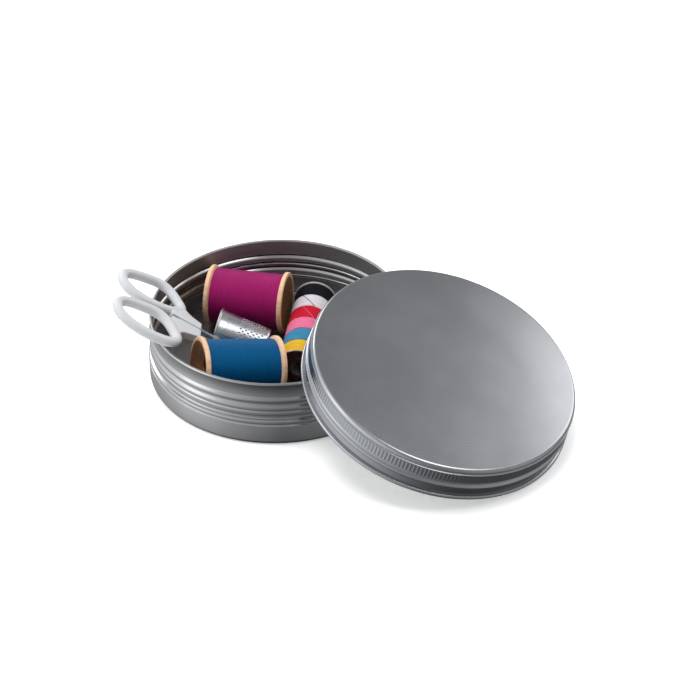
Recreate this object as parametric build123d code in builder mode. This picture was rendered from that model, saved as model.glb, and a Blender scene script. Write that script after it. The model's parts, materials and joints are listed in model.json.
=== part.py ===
from build123d import *
import math
import os

# A sewing kit in a round screw-top tin, shown open: the tin stands on the floor, its lid
# leans on the tin's lip, and scissors, two spools, a thimble and a stick of wound threads
# lie inside. Millimetres, +Z up, origin at the centre of the tin's underside.
# Angles are in degrees. A bearing is turned from +X towards +Y.

# ---- tin ----
sheet = 0.4                  # aluminium sheet of the tin and the lid
tin_height = 22.3
lower_radius = 41.6          # plain wall below the rings
foot_round = 2.0             # rounded edge between the wall and the underside
groove_radius = 40.3         # wall between the rings, and the neck under the lip
ridge_radius = 41.0          # crests of the rings that the lid screws over
bead_radius = 41.45          # narrow bead just above the plain wall
lip_round = 0.5              # section radius of the rolled lip
ring_round = 0.2             # bends of the sheet at each ring
ring_slope = 0.5             # height over which the sheet steps from groove to ridge
lower_wall_top = 7.3
bead_low = 7.9
bead_high = 8.8
ridge_low = 10.6             # wide ridge with two crests
ridge_dip = 12.2             # line between its crests
ridge_high = 13.8
top_ridge_low = 15.4
top_ridge_high = 16.7
dip_depth = 0.3

# ---- lid, in its own frame: z = 0 at its lower edge ----
lid_height = 12.0
curl_radius = 42.5           # outside of the curled lower edge
curl_round = 0.65            # section radius of that curl
skirt_radius = 41.75
skirt_groove_radius = 41.5   # fine lines beside the knurled band, and over the curl
skirt_bead_radius = 42.1
skirt_start = 1.9
skirt_bead_low = 4.5
skirt_bead_high = 5.5
knurl_low = 6.5
knurl_high = 10.3
line_height = 0.4            # height of each fine line
skirt_slope = 0.25           # height over which the skirt steps in or out
skirt_bend = 0.1             # bends of the skirt at each step
shoulder_round = 1.2         # rounded edge of the lid's top
liner_radius = 39.5
liner_thickness = 1.0
liner_gap = 0.05             # under the lid's panel

# ---- how the lid leans ----
lid_bearing = -33.3
lid_reach = 58.75            # from the tin's axis to the lid's, measured along the floor
lean_gap = 0.05              # between the curl and what it rests on

# ---- spools ----
spool_radius = 10.1
spool_length = 26.0
flange_rim = 1.3             # thickness of a flange at its rim
flange_taper = 1.9           # how much thicker it gets towards the barrel
barrel_radius = 5.0
spool_bore = 2.5
rim_width = 1.2              # flat ring round the dished end
dish_depth = 2.4
thread_radius = 9.2
thread_round = 0.5
magenta_place = (-10.3, 20.95)
magenta_bearing = -11.4
magenta_lift = 1.1           # above the tin's floor
blue_place = (-11.97, -19.7)
blue_bearing = 17.2
blue_rise = 11.6             # slope of its axis: the left end is up
blue_lift = 0.3

# ---- thimble ----
thimble_length = 18.0
thimble_mouth_radius = 7.5
thimble_tip_radius = 5.8
thimble_wall = 0.45
thimble_dome = 0.7
thimble_tip_round = 1.6
thimble_bead_radius = 8.0
thimble_bead_round = 0.5
thimble_place = (-20.4, 4.3, 10.4)
thimble_bearing = -10.0
thimble_dip = 14.0           # the closed end points down by this

# ---- scissors, in their own frame: x from the loops to the tips, z up out of the plane ----
scissors_place = (-39.8, -5.9, 27.5)
scissors_bearing = -3.2
scissors_dip = 33.0          # the tips point down by this
scissors_roll = 7.0          # the side towards the front is up
loop_half_length = 10.4
loop_half_width = 7.4
loop_end_radius = 6.0
loop_offset = 9.35           # from the middle line to a loop's centre
loop_twist = 2.3
rod_radius = 1.65
shank_end = 19.0
shank_thickness = 3.0
shank_inner = 0.25           # half the slit between the two shanks
shank_end_width = 2.5
shank_mid = 14.0
shank_mid_width = 4.0
shank_root = 5.4             # how far the shank runs back beside the loop's end
shank_shoulder = 2.2         # outer corner, inwards of the loop's centre
shank_fork = 3.0             # inner corners, inwards of the loop's centre
shank_fork_depth = 1.5
shank_crotch = 5.2
shank_crotch_depth = 3.2
pivot_at = 24.0
blade_end = 40.5
blade_thickness = 0.9
blade_gap = 0.05             # from the middle plane to each blade
blade_half_width = 2.3
blade_edge_reach = 0.5       # how far a cutting edge reaches past the middle line
blade_spine = 1.9            # from the middle line to the spine, past the pivot
tang_start = 12.5
tang_inner = 0.6
tang_outer = 2.1
blade_heel = 0.3             # how much the blade narrows just past the pivot
blade_tip_spine = 1.0        # from the middle line to the spine near the tip
blade_tip_length = 5.0
blade_tip_edge = 0.1         # the blunt point, on each side of the middle line
blade_tip_back = 0.15
neck_length = 0.5            # bare tang between the shank and the wide part
scissors_back = 1            # side of the half towards the back of the tin
scissors_front = -1
rivet_radius = 0.8
rivet_clearance = 0.1
rivet_head_radius = 1.5
rivet_head = 0.5

# ---- stick of wound threads ----
band_names = ("black", "white", "red", "pink", "blue", "yellow")
band_length = 6.33
band_radius = 6.8
band_round = 0.5
stick_flange_radius = 7.0
stick_flange = 0.8
stick_radius = 3.6
stick_bore = 2.5
stick_rear = (11.7, 26.65)
stick_front = (6.5, -12.65)
stick_lift = 0.05

floor_height = sheet
lid_lower_radius = curl_radius - curl_round
lip_radius = groove_radius - sheet / 2


def unit_vector(bearing, rise):
    """Direction at a bearing from +X, rising by an angle from level."""
    level = math.cos(math.radians(rise))
    x = level * math.cos(math.radians(bearing))
    y = level * math.sin(math.radians(bearing))
    return Vector(x, y, math.sin(math.radians(rise)))


def lengthwise(centre, axis):
    """Plane through an axis: local x is the radius, local y runs along the axis."""
    side = axis.cross(Vector(0, 0, 1)).normalized()
    return Plane(origin=centre, x_dir=side, z_dir=side.cross(axis))


def upright_section():
    """Plane through the tin's axis: local x is the radius, local y is the height."""
    return Plane.XZ


# ---------------------------------------------------------------- tin


def ring_steps(low, high, crest):
    """Wall points that step out to a ring's crest and back to the groove."""
    half = ring_slope / 2
    return [
        (groove_radius, low - half),
        (crest, low + half),
        (crest, high - half),
        (groove_radius, high + half),
    ]


def wide_ridge_steps():
    """The wide ridge, with the fine dip between its two crests."""
    half = ring_slope / 2
    steps = ring_steps(ridge_low, ridge_high, ridge_radius)
    dip = [
        (ridge_radius, ridge_dip - half),
        (ridge_radius - dip_depth, ridge_dip),
        (ridge_radius, ridge_dip + half),
    ]
    return steps[:2] + dip + steps[2:]


def tin_wall_points():
    """The wall's outline from the foot to the neck, as radius and height."""
    half = ring_slope / 2
    points = [(lower_radius, 0), (lower_radius, lower_wall_top - half)]
    points += [(bead_radius - dip_depth, lower_wall_top), (bead_radius, bead_low)]
    points += [(bead_radius, bead_high - half), (groove_radius, bead_high + half)]
    points += wide_ridge_steps()
    points += ring_steps(top_ridge_low, top_ridge_high, ridge_radius)
    return points


def tin_face(inset, bottom, top):
    """Everything within the wall's outline, moved in by an inset."""
    wall = [(radius - inset, height) for radius, height in tin_wall_points()]
    wall[0] = (wall[0][0], bottom)
    corners = [(0, bottom)] + wall + [(groove_radius - inset, top)]
    rounds = [foot_round - inset] + [ring_round] * (len(wall) - 1)
    with BuildSketch() as face:
        with BuildLine():
            FilletPolyline(*corners, radius=rounds)
            Polyline((groove_radius - inset, top), (0, top), (0, bottom))
        make_face()
    return face.sketch


with BuildPart() as tin_body:
    with BuildSketch(upright_section()):
        add(tin_face(0, 0, tin_height - lip_round))
    revolve()
    with BuildSketch(upright_section()):
        add(tin_face(sheet, floor_height, tin_height))
    revolve(mode=Mode.SUBTRACT)
    with BuildSketch(upright_section()):
        with Locations((lip_radius, tin_height - lip_round)):
            Circle(lip_round)
    revolve()

# ---------------------------------------------------------------- lid


def lid_centre(lean):
    """Centre of the lid's lower edge when it leans by an angle, its low side on the floor."""
    sine = math.sin(math.radians(lean))
    cosine = math.cos(math.radians(lean))
    curl_height = lid_lower_radius * sine + curl_round + lean_gap
    level = unit_vector(lid_bearing, 0) * (lid_reach - curl_round * sine)
    return level + Vector(0, 0, curl_height - curl_round * cosine)


def lean_clearance(lean):
    """Distance from the curl's middle circle to the lip's, negative where it is lower."""
    normal = unit_vector(lid_bearing, 90 - lean)
    across = unit_vector(lid_bearing + 90, 0)
    down_slope = across.cross(normal)
    centre = lid_centre(lean) + normal * curl_round
    nearest = None
    for step in range(720):
        angle = math.radians(step / 2)
        point = centre + (across * math.sin(angle) + down_slope * math.cos(angle)) * lid_lower_radius
        height = point.Z - (tin_height - lip_round)
        distance = math.hypot(math.hypot(point.X, point.Y) - lip_radius, height)
        if nearest is None or distance < abs(nearest):
            nearest = math.copysign(distance, height)
    return nearest


def resting_lean():
    """The lean at which the curl just rests on the tin's lip, found by halving."""
    wanted = curl_round + lip_round + lean_gap
    low = 8.0
    high = 40.0
    for _ in range(40):
        middle = (low + high) / 2
        if lean_clearance(middle) < wanted:
            low = middle
        else:
            high = middle
    return high


lid_lean = resting_lean()
lid_normal = unit_vector(lid_bearing, 90 - lid_lean)
lid_base = lid_centre(lid_lean)
lid_section = lengthwise(lid_base, lid_normal)
lid_axis = Axis(lid_base, lid_normal)


def skirt_points():
    """The skirt's outline from the curl to the top, as radius and height."""
    step = skirt_slope
    line_low = knurl_low - line_height
    line_high = knurl_high + line_height
    return [
        (skirt_groove_radius, curl_round),
        (skirt_groove_radius, skirt_start - step),
        (skirt_radius, skirt_start),
        (skirt_radius, skirt_bead_low - step),
        (skirt_bead_radius, skirt_bead_low + step),
        (skirt_bead_radius, skirt_bead_high - step),
        (skirt_groove_radius, skirt_bead_high + step),
        (skirt_groove_radius, line_low),
        (skirt_radius, knurl_low),
        (skirt_radius, knurl_high),
        (skirt_groove_radius, line_high),
        (skirt_groove_radius, lid_height),
    ]


def lid_face(inset, bottom):
    """Everything within the lid's outline, moved in by an inset and closed at a bottom."""
    skirt = [(radius - inset, height) for radius, height in skirt_points()]
    skirt[0] = (skirt[0][0], bottom)
    top = lid_height - inset
    skirt[-1] = (skirt[-1][0], top)
    rounds = [skirt_bend] * (len(skirt) - 2) + [shoulder_round - inset]
    with BuildSketch() as face:
        with BuildLine():
            FilletPolyline(*skirt, (0, top), radius=rounds)
            Polyline((0, top), (0, bottom), skirt[0])
        make_face()
    return face.sketch


with BuildPart() as lid_shell:
    with BuildSketch(lid_section):
        add(lid_face(0, curl_round))
    revolve(axis=lid_axis)
    with BuildSketch(lid_section):
        add(lid_face(sheet, 0))
    revolve(axis=lid_axis, mode=Mode.SUBTRACT)
    with BuildSketch(lid_section):
        with Locations((lid_lower_radius, curl_round)):
            Circle(curl_round)
    revolve(axis=lid_axis)

liner_top = lid_height - sheet - liner_gap

with BuildPart() as lid_liner:
    with BuildSketch(Plane(origin=lid_base + lid_normal * liner_top, z_dir=lid_normal)):
        Circle(liner_radius)
    extrude(amount=-liner_thickness)

# ---------------------------------------------------------------- spools


def taper_at(radius):
    """Distance from a flange's outer face to its inner face at a radius."""
    share = (spool_radius - radius) / (spool_radius - barrel_radius)
    return flange_rim + flange_taper * share


def spool_face():
    """Half section of a turned spool, dished at both ends, about its middle."""
    end = spool_length / 2
    with BuildSketch() as face:
        with BuildLine():
            Polyline(
                (spool_bore, 0),
                (spool_bore, end - dish_depth),
                (spool_radius - rim_width, end),
                (spool_radius, end),
                (spool_radius, end - flange_rim),
                (barrel_radius, end - flange_rim - flange_taper),
                (barrel_radius, 0),
                close=True,
            )
        make_face()
        mirror(about=Plane.XZ)
    return face.sketch


def winding_face():
    """Half section of the thread wound between a spool's flanges."""
    end = spool_length / 2
    with BuildSketch() as face:
        with BuildLine():
            Polyline(
                (barrel_radius, 0),
                (barrel_radius, end - taper_at(barrel_radius)),
                (thread_radius - thread_round, end - taper_at(thread_radius - thread_round)),
                (thread_radius, end - taper_at(thread_radius) - thread_round),
                (thread_radius, 0),
                close=True,
            )
        make_face()
        mirror(about=Plane.XZ)
    return face.sketch


magenta_axis = unit_vector(magenta_bearing, 0)
magenta_height = floor_height + spool_radius + magenta_lift
magenta_centre = Vector(*magenta_place, magenta_height)

blue_axis = unit_vector(blue_bearing, -blue_rise)
blue_drop = spool_length / 2 * math.sin(math.radians(blue_rise))
blue_half_height = spool_radius * math.cos(math.radians(blue_rise)) + blue_drop
blue_centre = Vector(*blue_place, floor_height + blue_half_height + blue_lift)

with BuildPart() as magenta_spool:
    with BuildSketch(lengthwise(magenta_centre, magenta_axis)):
        add(spool_face())
    revolve(axis=Axis(magenta_centre, magenta_axis))

with BuildPart() as magenta_thread:
    with BuildSketch(lengthwise(magenta_centre, magenta_axis)):
        add(winding_face())
    revolve(axis=Axis(magenta_centre, magenta_axis))

with BuildPart() as blue_spool:
    with BuildSketch(lengthwise(blue_centre, blue_axis)):
        add(spool_face())
    revolve(axis=Axis(blue_centre, blue_axis))

with BuildPart() as blue_thread:
    with BuildSketch(lengthwise(blue_centre, blue_axis)):
        add(winding_face())
    revolve(axis=Axis(blue_centre, blue_axis))

# ---------------------------------------------------------------- thimble


def thimble_face(inset, mouth):
    """Everything within the thimble's outline, moved in by an inset."""
    tip = thimble_length - inset
    edge = tip - thimble_dome
    with BuildSketch() as face:
        with BuildLine():
            FilletPolyline(
                (thimble_mouth_radius - inset, mouth),
                (thimble_tip_radius - inset, edge),
                (0, tip),
                radius=thimble_tip_round - inset,
            )
            Polyline((0, tip), (0, mouth), (thimble_mouth_radius - inset, mouth))
        make_face()
    return face.sketch


thimble_mouth = Vector(*thimble_place)
thimble_direction = unit_vector(thimble_bearing, -thimble_dip)
thimble_section = lengthwise(thimble_mouth, thimble_direction)
thimble_axis = Axis(thimble_mouth, thimble_direction)

with BuildPart() as thimble:
    with BuildSketch(thimble_section):
        add(thimble_face(0, 0))
    revolve(axis=thimble_axis)
    with BuildSketch(thimble_section):
        with Locations((thimble_bead_radius - thimble_bead_round, thimble_bead_round)):
            Circle(thimble_bead_round)
    revolve(axis=thimble_axis)
    with BuildSketch(thimble_section):
        add(thimble_face(thimble_wall, 0))
    revolve(axis=thimble_axis, mode=Mode.SUBTRACT)

# ---------------------------------------------------------------- scissors

scissors_along = unit_vector(scissors_bearing, -scissors_dip)
level_back = unit_vector(scissors_bearing + 90, 0)
square_up = scissors_along.cross(level_back)
roll_sine = math.sin(math.radians(scissors_roll))
roll_cosine = math.cos(math.radians(scissors_roll))
scissors_up = square_up * roll_cosine + level_back * roll_sine
scissors_plane = Plane(origin=scissors_place, x_dir=scissors_along, z_dir=scissors_up)


def loop_plane(side):
    """Plane of a finger loop, centred in it and turned by the loop's twist."""
    turn = Location((0, side * loop_offset, 0), (0, 0, side * loop_twist))
    return Plane(scissors_plane.location * turn)


def loop_path(side):
    """Oval of four tangent arcs, the middle line of a finger loop's rod."""
    a = loop_half_length
    b = loop_half_width
    end = loop_end_radius
    flank = (a * a + b * b - 2 * a * end) / (2 * (b - end))
    slope = math.degrees(math.atan2(flank - b, a - end))
    with BuildLine(loop_plane(side)) as path:
        CenterArc((a - end, 0), end, -slope, 2 * slope)
        CenterArc((0, b - flank), flank, slope, 180 - 2 * slope)
        CenterArc((end - a, 0), end, 180 - slope, 2 * slope)
        CenterArc((0, flank - b), flank, 180 + slope, 180 - 2 * slope)
    return path.line


def shank_face(side):
    """Flat shank that carries a loop to the tang, seen along the pivot."""
    ring = loop_half_length
    root = ring - shank_root
    with BuildSketch() as face:
        with BuildLine():
            Polyline(
                (root, side * (loop_offset - loop_half_width - rod_radius / 2)),
                (root + rod_radius, side * shank_inner),
                (shank_end, side * shank_inner),
                (shank_end, side * shank_end_width),
                (shank_mid, side * shank_mid_width),
                (ring + rod_radius, side * (loop_offset - shank_shoulder)),
                (ring, side * loop_offset),
                (ring - shank_fork_depth, side * (loop_offset - shank_fork)),
                (ring - shank_crotch_depth, side * (loop_offset - shank_crotch)),
                close=True,
            )
        make_face()
    return face.sketch


def blade_face(side):
    """A blade with its tang on one side; past the pivot its spine is on the other."""
    neck = shank_end + neck_length
    with BuildSketch() as face:
        with BuildLine():
            Polyline(
                (tang_start, side * tang_inner),
                (tang_start, side * tang_outer),
                (neck, side * tang_outer),
                (pivot_at - blade_half_width, side * blade_half_width),
                (pivot_at + blade_half_width, side * (blade_half_width - blade_heel)),
                (pivot_at + 2 * blade_half_width, side * blade_edge_reach),
                (blade_end, side * blade_tip_edge),
                (blade_end, side * -blade_tip_back),
                (blade_end - blade_tip_length, side * -blade_tip_spine),
                (pivot_at + 2 * blade_half_width, side * -blade_spine),
                (pivot_at - blade_half_width, side * -blade_half_width),
                (neck, side * tang_inner),
                close=True,
            )
        make_face()
    return face.sketch


def blade_level(side):
    """Height of a blade's lower face over the middle plane of the scissors."""
    return blade_gap if side > 0 else -blade_gap - blade_thickness


with BuildPart() as back_blade:
    with BuildSketch(scissors_plane.offset(blade_level(scissors_back))):
        add(blade_face(scissors_back))
        with Locations((pivot_at, 0)):
            Circle(rivet_radius + rivet_clearance, mode=Mode.SUBTRACT)
    extrude(amount=blade_thickness)

with BuildPart() as front_blade:
    with BuildSketch(scissors_plane.offset(blade_level(scissors_front))):
        add(blade_face(scissors_front))
        with Locations((pivot_at, 0)):
            Circle(rivet_radius + rivet_clearance, mode=Mode.SUBTRACT)
    extrude(amount=blade_thickness)

back_path = loop_path(scissors_back)

with BuildPart() as back_handle:
    with BuildSketch(Plane(origin=back_path @ 0, z_dir=back_path % 0)):
        Circle(rod_radius)
    sweep(path=back_path)
    with BuildSketch(scissors_plane):
        add(shank_face(scissors_back))
    extrude(amount=shank_thickness / 2, both=True)
    add(back_blade.part, mode=Mode.SUBTRACT)

front_path = loop_path(scissors_front)

with BuildPart() as front_handle:
    with BuildSketch(Plane(origin=front_path @ 0, z_dir=front_path % 0)):
        Circle(rod_radius)
    sweep(path=front_path)
    with BuildSketch(scissors_plane):
        add(shank_face(scissors_front))
    extrude(amount=shank_thickness / 2, both=True)
    add(front_blade.part, mode=Mode.SUBTRACT)

rivet_reach = blade_gap + blade_thickness + blade_gap

with BuildPart() as scissors_rivet:
    with BuildSketch(scissors_plane):
        with Locations((pivot_at, 0)):
            Circle(rivet_radius)
    extrude(amount=rivet_reach, both=True)
    with BuildSketch(scissors_plane.offset(rivet_reach), scissors_plane.offset(-rivet_reach - rivet_head)):
        with Locations((pivot_at, 0)):
            Circle(rivet_head_radius)
    extrude(amount=rivet_head)

# ---------------------------------------------------------------- stick of wound threads

stick_height = floor_height + stick_flange_radius + stick_lift
stick_back = Vector(*stick_rear, stick_height)
stick_axis = (Vector(*stick_front, stick_height) - stick_back).normalized()
stick_length = len(band_names) * band_length + 2 * stick_flange
stick_section = lengthwise(stick_back, stick_axis)
stick_line = Axis(stick_back, stick_axis)


def band_face(index):
    """Half section of one colour's winding."""
    start = stick_flange + index * band_length
    with BuildSketch() as face:
        with BuildLine():
            FilletPolyline(
                (stick_radius, start),
                (band_radius, start),
                (band_radius, start + band_length),
                (stick_radius, start + band_length),
                radius=band_round,
            )
            Line((stick_radius, start + band_length), (stick_radius, start))
        make_face()
    return face.sketch


with BuildPart() as thread_stick:
    with BuildSketch(stick_section):
        with Locations((0, stick_length / 2)):
            Rectangle(2 * stick_radius, stick_length)
        with Locations((0, stick_flange / 2), (0, stick_length - stick_flange / 2)):
            Rectangle(2 * stick_flange_radius, stick_flange)
        with Locations((0, stick_length / 2)):
            Rectangle(2 * stick_bore, stick_length, mode=Mode.SUBTRACT)
        with Locations((-stick_flange_radius, stick_length / 2)):
            Rectangle(2 * stick_flange_radius, stick_length, mode=Mode.SUBTRACT)
    revolve(axis=stick_line)

bands = []
for index, colour in enumerate(band_names):
    with BuildPart() as band:
        with BuildSketch(stick_section):
            add(band_face(index))
        revolve(axis=stick_line)
    band.part.label = colour + "_band"
    bands.append(band.part)

# ---------------------------------------------------------------- labels and files

tin_body.part.label = "tin_body"
lid_shell.part.label = "lid_shell"
lid_liner.part.label = "lid_liner"
magenta_spool.part.label = "magenta_spool"
magenta_thread.part.label = "magenta_thread"
blue_spool.part.label = "blue_spool"
blue_thread.part.label = "blue_thread"
thimble.part.label = "thimble"
back_blade.part.label = "back_blade"
front_blade.part.label = "front_blade"
back_handle.part.label = "back_handle"
front_handle.part.label = "front_handle"
scissors_rivet.part.label = "scissors_rivet"
thread_stick.part.label = "thread_stick"

pieces = [
    tin_body.part,
    lid_shell.part,
    lid_liner.part,
    magenta_spool.part,
    magenta_thread.part,
    blue_spool.part,
    blue_thread.part,
    thimble.part,
    back_blade.part,
    front_blade.part,
    back_handle.part,
    front_handle.part,
    scissors_rivet.part,
    thread_stick.part,
]

os.makedirs("parts", exist_ok=True)
for piece in pieces + bands:
    export_step(piece, "parts/" + piece.label + ".step")

print("lid lean", round(lid_lean, 3), "base", lid_base, "normal", lid_normal)
print("scissors along", scissors_along, "up", scissors_up)
print("stick axis", stick_axis, "length", stick_length)
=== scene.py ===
"""Sewing tin with its lid off.

A round screw-top aluminium tin stands on the floor. Its lid leans on the tin's lip with the
low edge on the floor, and inside lie small scissors, two wooden spools of thread, a thimble
and a stick wound with threads in several colours.

Lengths are millimetres in the tin's own frame (+Z up, origin under the middle of the tin), and
angles are degrees, unless a line says otherwise. Meshes are made in metres.
"""
import json
import logging
import math
from dataclasses import dataclass, field
from enum import Enum
from typing import Callable, Optional, Sequence

import bmesh
import bpy
from mathutils import Matrix, Vector


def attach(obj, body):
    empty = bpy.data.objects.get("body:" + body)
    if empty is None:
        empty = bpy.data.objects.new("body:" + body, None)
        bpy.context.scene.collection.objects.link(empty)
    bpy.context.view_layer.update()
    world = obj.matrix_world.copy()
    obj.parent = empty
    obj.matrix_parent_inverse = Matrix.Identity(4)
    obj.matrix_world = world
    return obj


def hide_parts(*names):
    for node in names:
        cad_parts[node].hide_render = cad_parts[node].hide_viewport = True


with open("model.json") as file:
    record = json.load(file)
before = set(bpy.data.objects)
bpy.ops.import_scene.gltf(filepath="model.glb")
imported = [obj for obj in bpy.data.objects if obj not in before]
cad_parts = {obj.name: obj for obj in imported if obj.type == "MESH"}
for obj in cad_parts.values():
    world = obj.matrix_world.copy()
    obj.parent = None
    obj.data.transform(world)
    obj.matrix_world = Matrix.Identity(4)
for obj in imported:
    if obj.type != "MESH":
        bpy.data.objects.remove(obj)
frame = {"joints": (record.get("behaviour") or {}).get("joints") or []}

LOG = logging.getLogger("sewing_tin")
MM = 0.001
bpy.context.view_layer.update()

# Most of an edge that the rounding at one of its ends takes up.
EDGE_SHARE = 0.46
# A corner whose half angle is over this one counts as straight.
STRAIGHT = math.radians(89.0)
# Radius of the ring that closes an end on the axis.
AXIS_RADIUS = 0.001
# Points nearer than this merge.
MERGE = 0.004
# Sides of a thread's section.
THREAD_SIDES = 6
# Thickness of the tin's sheet, which is the height of its floor inside.
SHEET = 0.4

Point = tuple[float, float]
Outline = list[Point]
Corner = tuple[float, float, float]
Colour = tuple[float, float, float]
Piece = bpy.types.Object
Socket = bpy.types.NodeSocket


# ------------------------------------------------------------------ outlines


def soften(corners: Sequence[Corner], steps: int = 5) -> Outline:
    """Rounds the corners of an outline.

    Args:
        corners: Radius, height and rounding radius of each corner.
        steps: Straight pieces in each rounded corner.

    Returns:
        The outline's points, the first and last left sharp.
    """
    points: Outline = [corners[0][:2]]
    for before, corner, after in zip(corners, corners[1:], corners[2:]):
        here = Vector(corner[:2])
        back = Vector(before[:2]) - here
        ahead = Vector(after[:2]) - here
        reach = EDGE_SHARE * min(back.length, ahead.length)
        back.normalize()
        ahead.normalize()
        half = math.acos(max(-1.0, min(1.0, back.dot(ahead)))) / 2
        if corner[2] <= 0 or half > STRAIGHT:
            points.append(corner[:2])
            continue
        tangent = min(corner[2] / math.tan(half), reach)
        start = here + back * tangent
        end = here + ahead * tangent
        for step in range(steps + 1):
            share = step / steps
            on_curve = start.lerp(here, share).lerp(here.lerp(end, share), share)
            points.append((on_curve.x, on_curve.y))
    points.append(corners[-1][:2])
    return points


def moved_in(outline: Outline, wall: float) -> Outline:
    """Moves an outline to the left of its own direction, no further than the axis.

    Args:
        outline: Points of the outline.
        wall: Distance to move it.

    Returns:
        As many points as the outline has.
    """
    moved: Outline = []
    for index, point in enumerate(outline):
        before = Vector(outline[max(index - 1, 0)])
        after = Vector(outline[min(index + 1, len(outline) - 1)])
        along = (after - before).normalized()
        moved.append((max(point[0] - along.y * wall, 0.0), point[1] + along.x * wall))
    return moved


def bead(centre: Point, radius: float, start: float, sweep: float, steps: int = 12) -> Outline:
    """Points round a rolled edge.

    Args:
        centre: Radius and height of the roll's centre.
        radius: Section radius of the roll.
        start: Angle of the first point, from outwards towards up.
        sweep: Angle that the roll covers.
        steps: Straight pieces in it.

    Returns:
        The points in order.
    """
    points: Outline = []
    for step in range(steps + 1):
        angle = math.radians(start + sweep * step / steps)
        points.append((centre[0] + radius * math.cos(angle), centre[1] + radius * math.sin(angle)))
    return points


# ------------------------------------------------------------------ places


def metres(*lengths: float) -> tuple[float, ...]:
    """Lengths in metres.

    Args:
        lengths: The lengths.

    Returns:
        The same lengths in metres.
    """
    return tuple(length * MM for length in lengths)


def direction(bearing: float, rise: float) -> Vector:
    """Direction at a bearing.

    Args:
        bearing: Angle from +X, seen from above.
        rise: Angle from level.

    Returns:
        A vector of length one.
    """
    bearing, rise = math.radians(bearing), math.radians(rise)
    level = math.cos(rise)
    return Vector((level * math.cos(bearing), level * math.sin(bearing), math.sin(rise)))


def seat(origin: Vector, axis: Vector, side: Optional[Vector] = None) -> Matrix:
    """Matrix that takes a piece made along +Z to its place.

    Args:
        origin: Where the origin goes.
        axis: Direction that +Z takes.
        side: Direction that +X takes. Level if left out.

    Returns:
        The matrix, in metres.
    """
    up = axis.normalized()
    if side is None:
        side = Vector((0, 0, 1)).cross(up)
    side = (side - up * side.dot(up)).normalized()
    turn = Matrix((side, up.cross(side), up)).transposed().to_4x4()
    return Matrix.Translation(origin * MM) @ turn


def lid_seat() -> Matrix:
    """The lid's place, on the axis that it turns about."""
    turning = next(item for item in frame["joints"] if item["name"] == "lid_turn")
    return seat(Vector(turning["pos_m"]) / MM, Vector(turning["axis"]))


# ------------------------------------------------------------------ bench


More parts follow.
